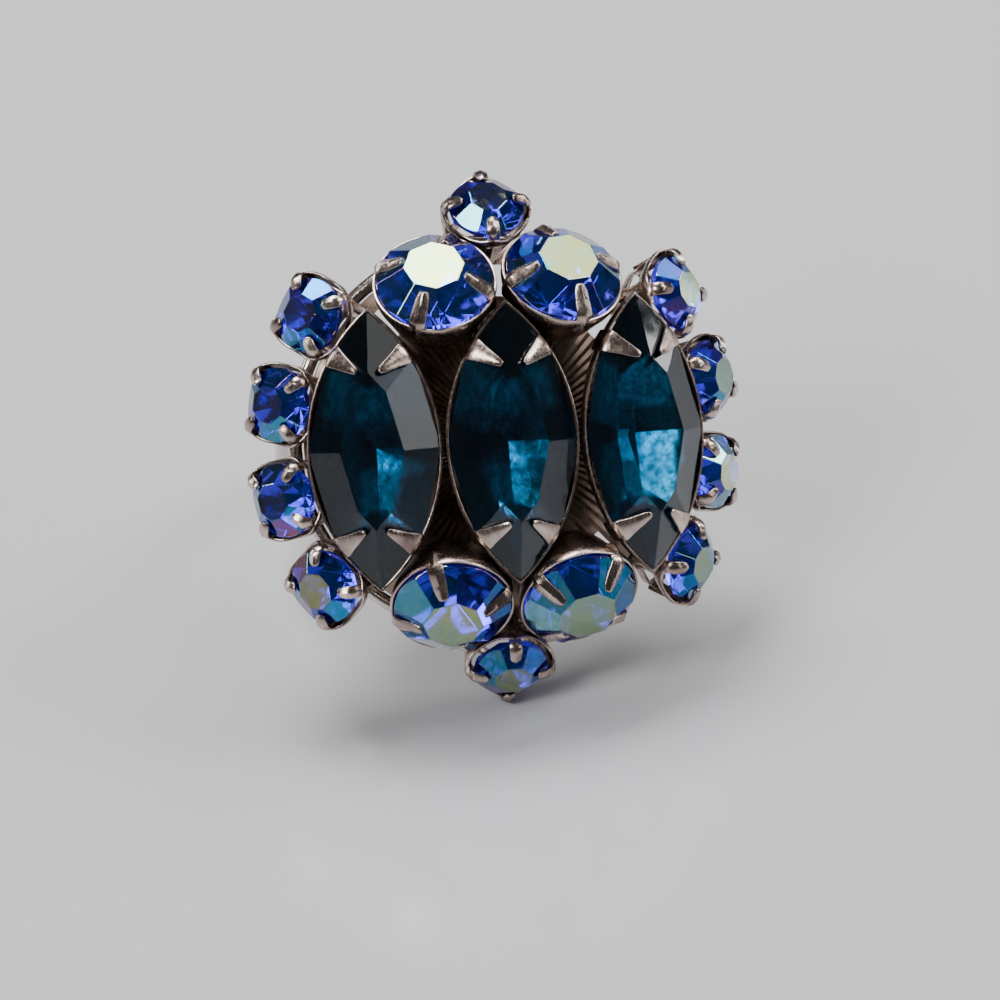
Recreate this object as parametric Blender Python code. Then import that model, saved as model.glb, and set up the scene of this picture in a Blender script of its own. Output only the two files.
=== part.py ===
"""Cocktail ring: seventeen glass stones in claw settings on a domed openwork head.

Lengths are in millimetres and angles in degrees; every mesh is turned to metres
when its object is made.  The ring is laid out upright, with the finger bore's
centre at the origin, the finger along Y and the head facing +Z.  One empty then
tips the whole ring forward, as it lies on a table on its band and its front claw.
"""

import math

import bmesh
import bpy
from mathutils import Euler, Matrix, Vector

MM = 0.001

# The band.
BORE_RADIUS = 9.2
BAND_THICKNESS = 1.1
BAND_WIDTH = 3.2
BAND_STEPS = 64
BAND_EDGE_BEVEL = 0.25

# How the ring lies on the table.
REST_TIP = 57.93
REST_ROLL = 7.2

# Round stones: girdle diameters, and cut proportions as shares of the diameter.
LARGE_STONE = 6.4
SMALL_STONE = 4.1
TABLE_SHARE = 0.48
CROWN_SHARE = 0.22
PAVILION_SHARE = 0.42
MAIN_FACETS = 8
ROUND_STEPS = 24

# Boat-shaped stones.
NAVETTE_LENGTH = 15.0
NAVETTE_WIDTH = 7.0
NAVETTE_CROWN = 1.25
NAVETTE_PAVILION = 2.6
NAVETTE_SHOULDER = (0.95, 3.2)
NAVETTE_TABLE_SIDE = 1.75
NAVETTE_TABLE_END = 4.3
NAVETTE_KEEL_BREAK = 3.0
NAVETTE_STEPS = 28

GIRDLE = 0.2

# Settings, stamped from sheet.
SHEET = 0.2
STONE_GAP = 0.04
RIM_ABOVE_GIRDLE = 0.12
SQUARE_POWER = 4.0
SMALL_STEPS = 16

# Cup walls: (offset from the stone's outline, height over the girdle's middle).
RIM = (STONE_GAP, RIM_ABOVE_GIRDLE)
LARGE_LEVELS = ((-1.0, -2.8), (-0.55, -1.8), (-0.1, -0.8), (STONE_GAP, -0.3), RIM)
SMALL_LEVELS = ((-0.65, -2.5), (-0.5, -1.9), (-0.2, -0.9), (STONE_GAP, -0.25), RIM)
SMALL_OPEN_LEVEL = 1
NAVETTE_LEVELS = ((-1.3, -2.8), (-0.25, -0.9), (STONE_GAP, -0.3), RIM)

# Claws: reach inwards at each bend, slope, rise over the girdle, half width at each bend.
LARGE_CLAW = ((0.3, 0.9, 1.5), 0.62, 0.38, (0.42, 0.42, 0.38, 0.22))
SMALL_CLAW = ((0.55, 1.05), 0.62, 0.18, (0.38, 0.36, 0.22))
NAVETTE_CLAW = ((0.3, 0.9, 1.6), 0.68, 0.3, (0.6, 0.55, 0.4, 0.12))
NAVETTE_CLAW_FROM_TIP = 2

# Where the stones sit: across (X), along (Y) and height (Z) of the girdle's centre,
# and how far its face leans outwards across and along.
SIDE_NAVETTE = dict(across=7.5, along=0.0, height=15.4, lean_across=16.0, lean_along=0.0)
MIDDLE_NAVETTE = dict(across=0.0, along=0.0, height=16.3, lean_across=0.0, lean_along=0.0)
UPPER_LARGE = dict(across=3.55, along=8.85, height=14.7, lean_across=10.0, lean_along=42.0)
LOWER_LARGE = dict(across=3.55, along=8.8, height=14.7, lean_across=10.0, lean_along=41.0)
UPPER_APEX = dict(across=0.0, along=12.65, height=12.2, lean_across=0.0, lean_along=44.0)
LOWER_APEX = dict(across=0.0, along=12.6, height=12.1, lean_across=0.0, lean_along=46.0)
CORNER_SMALL = dict(across=10.2, along=7.4, height=12.8, lean_across=45.0, lean_along=16.0)
FLANK_SMALL = dict(across=12.05, along=2.6, height=11.9, lean_across=49.0, lean_along=5.0)

# name, seat, side across, side along, turn of the claws
LARGE_SEATS = (
    ("upper_left", UPPER_LARGE, -1, 1, -20.0),
    ("upper_right", UPPER_LARGE, 1, 1, 5.0),
    ("lower_left", LOWER_LARGE, -1, -1, 15.0),
    ("lower_right", LOWER_LARGE, 1, -1, -30.0),
)
SMALL_SEATS = (
    ("top", UPPER_APEX, 1, 1, 0.0),
    ("bottom", LOWER_APEX, 1, -1, 0.0),
    ("left_1", CORNER_SMALL, -1, 1, 18.0),
    ("left_2", FLANK_SMALL, -1, 1, 34.0),
    ("left_3", FLANK_SMALL, -1, -1, 56.0),
    ("left_4", CORNER_SMALL, -1, -1, -5.0),
    ("right_1", CORNER_SMALL, 1, 1, -8.0),
    ("right_2", FLANK_SMALL, 1, 1, -24.0),
    ("right_3", FLANK_SMALL, 1, -1, 40.0),
    ("right_4", CORNER_SMALL, 1, -1, 2.0),
)
NAVETTE_SEATS = (
    ("left", SIDE_NAVETTE, -1, 1, 0.0),
    ("middle", MIDDLE_NAVETTE, 1, 1, 0.0),
    ("right", SIDE_NAVETTE, 1, 1, 1.0),
)

# The openwork plate under the settings, a shallow dome.
PLATE_TOP = 13.0
PLATE_FALL_ACROSS = 0.034
PLATE_FALL_ALONG = 0.0245
PLATE_HALF_ACROSS = 10.3
PLATE_HALF_ALONG = 10.3
PLATE_THICKNESS = 0.5
PLATE_STEPS = 32
PLATE_RINGS = (1.0, 0.92, 0.76, 0.48, 0.2)
PLATE_OPEN_BAND = 1
PLATE_SPOKE_EVERY = 4

# The edge wire around the plate, and the riser between plate and band.
WIRE_RADIUS = 0.4
WIRE_STEPS = 48
WIRE_SIDES = 6
WIRE_GAP = 0.06
RISER_TOP_RADIUS = 4.6
RISER_FOOT_RADIUS = 3.9
RISER_WALL = 0.6
RISER_STEPS = 32
RISER_FOOT_SPARE = 0.6
JOINT_GAP = 0.08

METAL_COLOUR = (0.52, 0.47, 0.45, 1.0)
SAPPHIRE_COLOUR = (0.02, 0.12, 0.75, 1.0)
TEAL_COLOUR = (0.005, 0.07, 0.12, 1.0)


def clear_scene():
    for obj in list(bpy.data.objects):
        bpy.data.objects.remove(obj, do_unlink=True)


def finish_material(name, colour, metallic, roughness, transmission=0.0):
    material = bpy.data.materials.new(name)
    material.use_nodes = True
    shader = material.node_tree.nodes["Principled BSDF"]
    shader.inputs["Base Color"].default_value = colour
    shader.inputs["Metallic"].default_value = metallic
    shader.inputs["Roughness"].default_value = roughness
    shader.inputs["Transmission Weight"].default_value = transmission
    material.diffuse_color = colour
    return material


def add_object(name, bm, material, parent, place=Matrix.Identity(4), smooth=False):
    """Turn a bmesh in millimetres into an object in metres, placed by a matrix in millimetres."""
    bm.transform(Matrix.Scale(MM, 4))
    mesh = bpy.data.meshes.new(name)
    bm.to_mesh(mesh)
    bm.free()
    if smooth:
        mesh.shade_smooth()
        mesh.set_sharp_from_angle(angle=math.radians(35.0))
    mesh.materials.append(material)
    obj = bpy.data.objects.new(name, mesh)
    bpy.context.collection.objects.link(obj)
    obj.parent = parent
    obj.location = place.to_translation() * MM
    obj.rotation_euler = place.to_euler()
    return obj


def seat_matrix(seat, side_across, side_along, turn=0.0):
    """The frame of one setting: its origin in the girdle's plane, Z out of the stone's face."""
    lean_across = math.tan(math.radians(seat["lean_across"])) * side_across
    lean_along = math.tan(math.radians(seat["lean_along"])) * side_along
    facing = Vector((lean_across, lean_along, 1.0)).normalized()
    across = Vector((0.0, 1.0, 0.0)).cross(facing).normalized()
    along = facing.cross(across)
    rotation = Matrix((across, along, facing)).transposed().to_4x4()
    centre = Vector((seat["across"] * side_across, seat["along"] * side_along, seat["height"]))
    return Matrix.Translation(centre) @ rotation @ Matrix.Rotation(math.radians(turn), 4, "Z")


# ---------------------------------------------------------------- outlines

def round_outline(diameter, steps):
    """Points around a circle, with a side, not a corner, facing +X."""
    angles = [math.tau * (index - 0.5) / steps for index in range(steps)]
    return [Vector((math.cos(a), math.sin(a), 0.0)) * diameter / 2 for a in angles]


def square_outline(width, steps):
    """Points around a square with well-rounded corners, one corner facing +X."""
    points = []
    for index in range(steps):
        angle = math.tau * (index - 0.5) / steps
        along_side = abs(math.cos(angle - math.pi / 4)) ** SQUARE_POWER
        along_side += abs(math.sin(angle - math.pi / 4)) ** SQUARE_POWER
        reach = width / 2 / along_side ** (1 / SQUARE_POWER)
        points.append(Vector((math.cos(angle), math.sin(angle), 0.0)) * reach)
    return points


def navette_outline(steps):
    """Two equal arcs that meet in points at +Y and -Y, starting at -Y on the +X side."""
    half_length = NAVETTE_LENGTH / 2
    half_width = NAVETTE_WIDTH / 2
    radius = (half_length ** 2 + half_width ** 2) / (2 * half_width)
    reach = math.asin(half_length / radius)
    points = []
    for side in (1, -1):
        for index in range(steps // 2):
            angle = side * reach * (4 * index / steps - 1)
            x = side * (radius * math.cos(angle) - radius + half_width)
            points.append(Vector((x, radius * math.sin(angle), 0.0)))
    return points


# ---------------------------------------------------------------- stones

def cut_facet(bm, point, normal):
    """Saw off what lies outside a plane, and close the flat that the saw leaves."""
    everything = bm.verts[:] + bm.edges[:] + bm.faces[:]
    bmesh.ops.bisect_plane(bm, geom=everything, plane_co=point, plane_no=normal, clear_outer=True, dist=1e-5)
    rim = [edge for edge in bm.edges if edge.is_boundary]
    if rim:
        bmesh.ops.holes_fill(bm, edges=rim, sides=0)


def cut_stone(outline, top, bottom, crown_facets, pavilion_facets):
    """Grind a stone from a blank; a facet is (azimuth, near reach, near height, far reach, far height)."""
    bm = bmesh.new()
    for point in outline:
        bm.verts.new((point.x, point.y, bottom))
    blank = bm.faces.new(bm.verts)
    bmesh.ops.recalc_face_normals(bm, faces=[blank])
    walls = bmesh.ops.extrude_face_region(bm, geom=[blank])
    risen = [item for item in walls["geom"] if isinstance(item, bmesh.types.BMVert)]
    bmesh.ops.translate(bm, verts=risen, vec=(0.0, 0.0, top - bottom))
    bmesh.ops.recalc_face_normals(bm, faces=bm.faces[:])
    for azimuth, near, near_height, far, far_height in crown_facets + pavilion_facets:
        outward = Vector((math.cos(azimuth), math.sin(azimuth), 0.0))
        fall = near_height - far_height
        normal = outward * abs(fall) + Vector((0.0, 0.0, math.copysign(far - near, fall)))
        cut_facet(bm, outward * far + Vector((0.0, 0.0, far_height)), normal.normalized())
    bmesh.ops.dissolve_limit(bm, angle_limit=math.radians(0.5), verts=bm.verts[:], edges=bm.edges[:])
    bmesh.ops.recalc_face_normals(bm, faces=bm.faces[:])
    return bm


def round_stone(diameter):
    radius = diameter / 2
    crown = GIRDLE / 2 + CROWN_SHARE * diameter
    culet = -GIRDLE / 2 - PAVILION_SHARE * diameter
    azimuths = [math.tau * index / MAIN_FACETS for index in range(MAIN_FACETS)]
    table = TABLE_SHARE * radius
    crown_facets = [(a, table, crown, radius, GIRDLE / 2) for a in azimuths]
    pavilion_facets = [(a, 0.0, culet, radius, -GIRDLE / 2) for a in azimuths]
    return cut_stone(round_outline(diameter, ROUND_STEPS), crown, culet, crown_facets, pavilion_facets)


def mirrored_azimuths(azimuth):
    return (azimuth, math.pi - azimuth, math.pi + azimuth, -azimuth)


def navette_stone():
    crown = GIRDLE / 2 + NAVETTE_CROWN
    culet = -GIRDLE / 2 - NAVETTE_PAVILION
    shoulder = Vector(NAVETTE_SHOULDER)
    side_run = shoulder - Vector((NAVETTE_TABLE_SIDE, 0.0))
    side_azimuth = math.atan2(-side_run.x, side_run.y)
    tip_run = Vector((0.0, NAVETTE_TABLE_END)) - shoulder
    tip_azimuth = math.atan2(-tip_run.x, tip_run.y)
    side_reach = NAVETTE_WIDTH / 2 * math.cos(side_azimuth)
    tip_reach = NAVETTE_LENGTH / 2 * math.sin(tip_azimuth)
    side_table = NAVETTE_TABLE_SIDE * math.cos(side_azimuth)
    tip_table = NAVETTE_TABLE_END * math.sin(tip_azimuth)
    keel_share = 1 - NAVETTE_KEEL_BREAK * math.sin(side_azimuth) / side_reach
    keel_height = -GIRDLE / 2 - NAVETTE_PAVILION * keel_share
    keel_reach = NAVETTE_KEEL_BREAK * math.sin(tip_azimuth)
    crown_facets = []
    pavilion_facets = []
    for azimuth in mirrored_azimuths(side_azimuth):
        crown_facets.append((azimuth, side_table, crown, side_reach, GIRDLE / 2))
        pavilion_facets.append((azimuth, 0.0, culet, side_reach, -GIRDLE / 2))
    for azimuth in mirrored_azimuths(tip_azimuth):
        crown_facets.append((azimuth, tip_table, crown, tip_reach, GIRDLE / 2))
        pavilion_facets.append((azimuth, keel_reach, keel_height, tip_reach, -GIRDLE / 2))
    return cut_stone(navette_outline(NAVETTE_STEPS), crown, culet, crown_facets, pavilion_facets)


# ---------------------------------------------------------------- settings

def grow(point, half, offset):
    """Move an outline point outwards by scaling its outline, whose half sizes are given."""
    return Vector((point.x * (1 + offset / half[0]), point.y * (1 + offset / half[1]), 0.0))


def raise_edges(bm, edges, place):
    """Extrude edges and put each new vertex where place(step) says; return the far edges."""
    made = bmesh.ops.extrude_edge_only(bm, edges=edges)["geom"]
    step = bm.verts.layers.int["step"]
    risen = [item for item in made if isinstance(item, bmesh.types.BMVert)]
    for vert in risen:
        vert.co = place(vert[step])
    fresh = set(risen)
    far = [item for item in made if isinstance(item, bmesh.types.BMEdge)]
    return [edge for edge in far if set(edge.verts) <= fresh]


def sheet_cup(outline, half, levels, open_level, claw_steps, claw_path):
    """One sheet: rings of the outline at each level, windows between the posts, bent claws.

    A level is (offset, height).  The claw path holds (inwards, height, half width), from the
    stone's edge, and the metal is put on the sheet's outer side by a Solidify modifier.
    """
    count = len(outline)
    bm = bmesh.new()
    step = bm.verts.layers.int.new("step")
    ring = bmesh.ops.create_circle(bm, segments=count, radius=1.0)["verts"]
    offset, height = levels[0]
    for index, vert in enumerate(ring):
        vert[step] = index
        vert.co = grow(outline[index], half, offset) + Vector((0.0, 0.0, height))
    edges = bm.edges[:]
    for offset, height in levels[1:]:
        lift = Vector((0.0, 0.0, height))
        edges = raise_edges(bm, edges, lambda at, o=offset, z=lift: grow(outline[at], half, o) + z)
    remove_windows(bm, step, levels, open_level, claw_steps, count)
    for first in claw_steps:
        second = (first + 1) % count
        middle = (outline[first] + outline[second]) / 2
        tangent = (outline[second] - outline[first]).normalized()
        inward = Vector((-tangent.y, tangent.x, 0.0))
        claw = [edge for edge in edges if {vert[step] for vert in edge.verts} == {first, second}]
        for inwards, height, half_width in claw_path:
            centre = middle + inward * inwards + Vector((0.0, 0.0, height))
            spread = tangent * half_width
            claw = raise_edges(
                bm, claw, lambda at, c=centre, s=spread, f=first: c - s if at == f else c + s)
    bmesh.ops.recalc_face_normals(bm, faces=bm.faces[:])
    return bm


def remove_windows(bm, step, levels, open_level, claw_steps, count):
    """Cut the openings between the four posts out of one band of the sheet."""
    if open_level is None:
        return
    low = levels[open_level][1]
    high = levels[open_level + 1][1]
    doomed = []
    for face in bm.faces:
        middle = face.calc_center_median().z
        steps = {vert[step] for vert in face.verts}
        at_claw = any(steps == {first, (first + 1) % count} for first in claw_steps)
        if low < middle < high and not at_claw:
            doomed.append(face)
    bmesh.ops.delete(bm, geom=doomed, context="FACES")


def crown_claw(lengths, slope, rise, half_widths):
    """A claw that climbs past the girdle and lies on a crown of the given slope."""
    path = [(0.0, GIRDLE / 2 + rise, half_widths[0])]
    for inwards, half_width in zip(lengths, half_widths[1:]):
        path.append((inwards, GIRDLE / 2 + rise + inwards * slope, half_width))
    return path


def finish_cup(name, bm, material, parent, place):
    faces_out = sum(face.normal.dot(face.calc_center_median().xy.to_3d()) for face in bm.faces)
    if faces_out < 0:
        bmesh.ops.reverse_faces(bm, faces=bm.faces[:])
    obj = add_object(name, bm, material, parent, place)
    solid = obj.modifiers.new("sheet thickness", "SOLIDIFY")
    solid.thickness = SHEET * MM
    solid.offset = 1.0
    solid.use_even_offset = True
    return obj


def large_setting(name, material, parent, place):
    radius = LARGE_STONE / 2
    claw_steps = range(0, ROUND_STEPS, ROUND_STEPS // 4)
    bm = sheet_cup(round_outline(LARGE_STONE, ROUND_STEPS), (radius, radius), LARGE_LEVELS, None,
                   claw_steps, crown_claw(*LARGE_CLAW))
    return finish_cup(name, bm, material, parent, place)


def small_setting(name, material, parent, place):
    half = SMALL_STONE / 2
    claw_steps = range(0, SMALL_STEPS, SMALL_STEPS // 4)
    bm = sheet_cup(square_outline(SMALL_STONE, SMALL_STEPS), (half, half), SMALL_LEVELS, SMALL_OPEN_LEVEL,
                   claw_steps, crown_claw(*SMALL_CLAW))
    return finish_cup(name, bm, material, parent, place)


def navette_setting(name, material, parent, place):
    half = (NAVETTE_WIDTH / 2, NAVETTE_LENGTH / 2)
    side = NAVETTE_STEPS // 2
    near = NAVETTE_CLAW_FROM_TIP
    claw_steps = (near, side - near - 1, side + near, 2 * side - near - 1)
    bm = sheet_cup(navette_outline(NAVETTE_STEPS), half, NAVETTE_LEVELS, None, claw_steps,
                   crown_claw(*NAVETTE_CLAW))
    return finish_cup(name, bm, material, parent, place)


# ---------------------------------------------------------------- head structure

def dome_height(x, y):
    return PLATE_TOP - PLATE_FALL_ACROSS * x * x - PLATE_FALL_ALONG * y * y


def plate_point(share, index):
    angle = math.tau * (index - 0.5) / PLATE_STEPS
    x = PLATE_HALF_ACROSS * share * math.cos(angle)
    y = PLATE_HALF_ALONG * share * math.sin(angle)
    return Vector((x, y, dome_height(x, y)))


def base_plate(material, parent):
    """A domed openwork plate: rings joined by spokes, with the windows left out."""
    bm = bmesh.new()
    step = bm.verts.layers.int.new("step")
    ring = bmesh.ops.create_circle(bm, segments=PLATE_STEPS, radius=1.0)["verts"]
    for index, vert in enumerate(ring):
        vert[step] = index
        vert.co = plate_point(PLATE_RINGS[0], index)
    edges = bm.edges[:]
    for band, share in enumerate(PLATE_RINGS[1:]):
        old = set(bm.faces)
        edges = raise_edges(bm, edges, lambda at, s=share: plate_point(s, at))
        if band == PLATE_OPEN_BAND:
            fresh = [face for face in bm.faces if face not in old]
            doomed = []
            for face in fresh:
                steps = {vert[step] for vert in face.verts}
                closes_ring = steps == {0, PLATE_STEPS - 1}
                if min(steps) % PLATE_SPOKE_EVERY != 0 or closes_ring:
                    doomed.append(face)
            bmesh.ops.delete(bm, geom=doomed, context="FACES_ONLY")
    spare = [edge for edge in bm.edges if not edge.link_faces]
    bmesh.ops.delete(bm, geom=spare, context="EDGES")
    bmesh.ops.recalc_face_normals(bm, faces=bm.faces[:])
    if sum(face.normal.z for face in bm.faces) < 0:
        bmesh.ops.reverse_faces(bm, faces=bm.faces[:])
    obj = add_object("base_plate", bm, material, parent)
    solid = obj.modifiers.new("plate thickness", "SOLIDIFY")
    solid.thickness = PLATE_THICKNESS * MM
    solid.offset = -1.0
    return obj


def tube_along(points, radius, sides, closed=True):
    """A round wire through a closed run of points: one ring a point, bridged to the next."""
    bm = bmesh.new()
    count = len(points)
    rings = []
    for index, point in enumerate(points):
        run = (points[(index + 1) % count] - points[index - 1]).normalized()
        place = Matrix.Translation(point) @ run.to_track_quat("Z", "Y").to_matrix().to_4x4()
        made = bmesh.ops.create_circle(bm, segments=sides, radius=radius, matrix=place)
        rings.append([edge for edge in {e for v in made["verts"] for e in v.link_edges}])
    for index in range(count):
        bmesh.ops.bridge_loops(bm, edges=rings[index] + rings[(index + 1) % count])
    bmesh.ops.recalc_face_normals(bm, faces=bm.faces[:])
    return bm


def edge_wire(material, parent):
    reach = WIRE_RADIUS + WIRE_GAP
    points = []
    for index in range(WIRE_STEPS):
        angle = math.tau * index / WIRE_STEPS
        x = (PLATE_HALF_ACROSS + reach) * math.cos(angle)
        y = (PLATE_HALF_ALONG + reach) * math.sin(angle)
        points.append(Vector((x, y, dome_height(x, y) - PLATE_THICKNESS / 2)))
    return add_object("edge_wire", tube_along(points, WIRE_RADIUS, WIRE_SIDES), material, parent, smooth=True)


def shank(material, parent):
    """A flat band: one cross-section with eased outer edges, spun around the finger."""
    inner = BORE_RADIUS
    outer = BORE_RADIUS + BAND_THICKNESS
    half = BAND_WIDTH / 2
    ease = BAND_EDGE_BEVEL
    profile = ((inner, -half), (outer - ease, -half), (outer, -half + ease),
               (outer, half - ease), (outer - ease, half), (inner, half))
    bm = bmesh.new()
    verts = [bm.verts.new((radius, along, 0.0)) for radius, along in profile]
    edges = [bm.edges.new((verts[i - 1], verts[i])) for i in range(len(verts))]
    bmesh.ops.spin(bm, geom=verts + edges, cent=(0.0, 0.0, 0.0), axis=(0.0, 1.0, 0.0),
                   angle=math.tau, steps=BAND_STEPS, use_merge=True)
    bmesh.ops.recalc_face_normals(bm, faces=bm.faces[:])
    return add_object("shank", bm, material, parent, smooth=True)


def riser(material, parent):
    """A short flared collar between the band and the plate, its foot hollowed to the band."""
    top = dome_height(RISER_TOP_RADIUS, 0.0) - PLATE_THICKNESS - JOINT_GAP * 2
    band_outer = BORE_RADIUS + BAND_THICKNESS
    foot = band_outer * math.cos(math.asin(RISER_FOOT_RADIUS / band_outer)) - RISER_FOOT_SPARE
    profile = ((RISER_FOOT_RADIUS, foot), (RISER_TOP_RADIUS, top),
               (RISER_TOP_RADIUS - RISER_WALL, top), (RISER_FOOT_RADIUS - RISER_WALL, foot))
    bm = bmesh.new()
    verts = [bm.verts.new((radius, 0.0, height)) for radius, height in profile]
    edges = [bm.edges.new((verts[i - 1], verts[i])) for i in range(len(verts))]
    bmesh.ops.spin(bm, geom=verts + edges, cent=(0.0, 0.0, 0.0), axis=(0.0, 0.0, 1.0),
                   angle=math.tau, steps=RISER_STEPS, use_merge=True)
    bmesh.ops.recalc_face_normals(bm, faces=bm.faces[:])
    obj = add_object("riser", bm, material, parent)
    cutter_bm = bmesh.new()
    turned = Matrix.Rotation(math.radians(90.0), 4, "X")
    cutter_radius = (band_outer + JOINT_GAP) / math.cos(math.pi / BAND_STEPS)
    bmesh.ops.create_cone(cutter_bm, segments=BAND_STEPS, radius1=cutter_radius, radius2=cutter_radius,
                          depth=4 * RISER_TOP_RADIUS, cap_ends=True, matrix=turned)
    cutter = add_object("band_cutter", cutter_bm, material, parent)
    cutter.hide_render = True
    cutter.display_type = "WIRE"
    cut = obj.modifiers.new("fit to band", "BOOLEAN")
    cut.operation = "DIFFERENCE"
    cut.solver = "EXACT"
    cut.object = cutter
    return obj


def bottom_centre(objects):
    """The middle of the underside of the box around some objects."""
    graph = bpy.context.evaluated_depsgraph_get()
    corners = []
    for obj in objects:
        solid = obj.evaluated_get(graph)
        corners += [solid.matrix_world @ vert.co for vert in solid.data.vertices]
    low = Vector(min(corner[axis] for corner in corners) for axis in range(3))
    high = Vector(max(corner[axis] for corner in corners) for axis in range(3))
    return Vector(((low.x + high.x) / 2, (low.y + high.y) / 2, low.z))


def main():
    clear_scene()
    metal = finish_material("silver tone metal", METAL_COLOUR, 1.0, 0.25)
    sapphire = finish_material("sapphire glass", SAPPHIRE_COLOUR, 0.0, 0.05, 0.6)
    teal = finish_material("teal glass", TEAL_COLOUR, 0.0, 0.05, 0.6)

    pose = bpy.data.objects.new("resting_pose", None)
    bpy.context.collection.objects.link(pose)
    pose.rotation_euler = Euler((math.radians(REST_TIP), math.radians(REST_ROLL), 0.0))

    pieces = [shank(metal, pose), riser(metal, pose), base_plate(metal, pose), edge_wire(metal, pose)]
    for name, seat, across, along, turn in NAVETTE_SEATS:
        place = seat_matrix(seat, across, along, turn)
        pieces.append(add_object("navette_stone_" + name, navette_stone(), teal, pose, place))
        pieces.append(navette_setting("navette_setting_" + name, metal, pose, place))
    for name, seat, across, along, turn in LARGE_SEATS:
        place = seat_matrix(seat, across, along, turn)
        pieces.append(add_object("large_stone_" + name, round_stone(LARGE_STONE), sapphire, pose, place))
        pieces.append(large_setting("large_setting_" + name, metal, pose, place))
    for name, seat, across, along, turn in SMALL_SEATS:
        place = seat_matrix(seat, across, along, turn)
        pieces.append(add_object("small_stone_" + name, round_stone(SMALL_STONE), sapphire, pose, place))
        pieces.append(small_setting("small_setting_" + name, metal, pose, place))

    bpy.context.view_layer.update()
    pose.location = -bottom_centre(pieces)


main()
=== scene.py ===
# %% [markdown]
# # A cocktail ring in claw-set glass
#
# The ring carries seventeen glass stones: three long boat-shaped ones side by side,
# four large round ones in pairs above and below them, and ten small round ones around
# the rim.  Each stone drops into a stamped metal cup whose claws are bent over its
# crown.  The cups are soldered to a domed openwork plate, a wire runs around the
# plate's edge, and a short collar joins the plate to a plain band.
#
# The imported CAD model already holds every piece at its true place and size.  This
# lesson reads those places back, and builds the finer surface of each piece there.

# %% Load the frame and keep its box
import math
import random

import bmesh
import bpy
from mathutils import Matrix, Quaternion, Vector


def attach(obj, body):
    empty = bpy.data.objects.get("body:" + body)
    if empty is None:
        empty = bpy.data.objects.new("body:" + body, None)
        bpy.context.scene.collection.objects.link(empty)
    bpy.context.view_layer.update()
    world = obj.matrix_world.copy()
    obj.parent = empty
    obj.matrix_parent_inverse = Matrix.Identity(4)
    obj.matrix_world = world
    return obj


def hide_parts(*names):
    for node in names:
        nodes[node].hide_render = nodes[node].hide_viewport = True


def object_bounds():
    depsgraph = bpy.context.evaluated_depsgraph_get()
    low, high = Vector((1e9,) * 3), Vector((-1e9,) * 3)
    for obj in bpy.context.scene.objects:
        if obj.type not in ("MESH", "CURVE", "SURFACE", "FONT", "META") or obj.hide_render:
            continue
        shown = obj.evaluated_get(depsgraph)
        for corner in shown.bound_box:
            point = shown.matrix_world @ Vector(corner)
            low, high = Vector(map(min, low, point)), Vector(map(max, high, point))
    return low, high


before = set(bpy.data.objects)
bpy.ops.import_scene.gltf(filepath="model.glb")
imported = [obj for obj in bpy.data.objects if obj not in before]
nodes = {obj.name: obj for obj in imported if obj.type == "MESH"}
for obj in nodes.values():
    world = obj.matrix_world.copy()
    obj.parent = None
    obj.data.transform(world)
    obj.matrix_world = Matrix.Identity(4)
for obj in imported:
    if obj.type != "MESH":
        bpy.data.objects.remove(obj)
cad_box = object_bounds()
MM = 0.001
box_low = Vector(cad_box[0])
box_high = Vector(cad_box[1])
box_centre = (box_low + box_high) / 2
print("pieces in the frame:", len(nodes))
print("box in mm:", [round(side / MM, 2) for side in box_high - box_low])


# %% [markdown]
# ## Reading a seat from its stone
#
# A cut stone tells where it sits.  Its table is its largest flat, so the table's normal
# is the way the stone faces.  The girdle is the widest line of the stone, and gives the
# centre.  A copy of the node is merged first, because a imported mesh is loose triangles.

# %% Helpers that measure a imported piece
WELD = 1e-6
FLAT_ANGLE = math.radians(1.0)
RIM_SHARE = 0.98


def merged_copy(name):
    """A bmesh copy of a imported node, its loose triangles joined and its flats made whole."""
    bm = bmesh.new()
    bm.from_mesh(nodes[name].data)
    bmesh.ops.remove_doubles(bm, verts=bm.verts[:], dist=WELD)
    bmesh.ops.dissolve_limit(bm, angle_limit=FLAT_ANGLE, verts=bm.verts[:], edges=bm.edges[:])
    return bm


def flat_part(vector, facing):
    """What is left of a vector when its share along the facing direction is taken away."""
    return vector - facing * vector.dot(facing)


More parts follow.
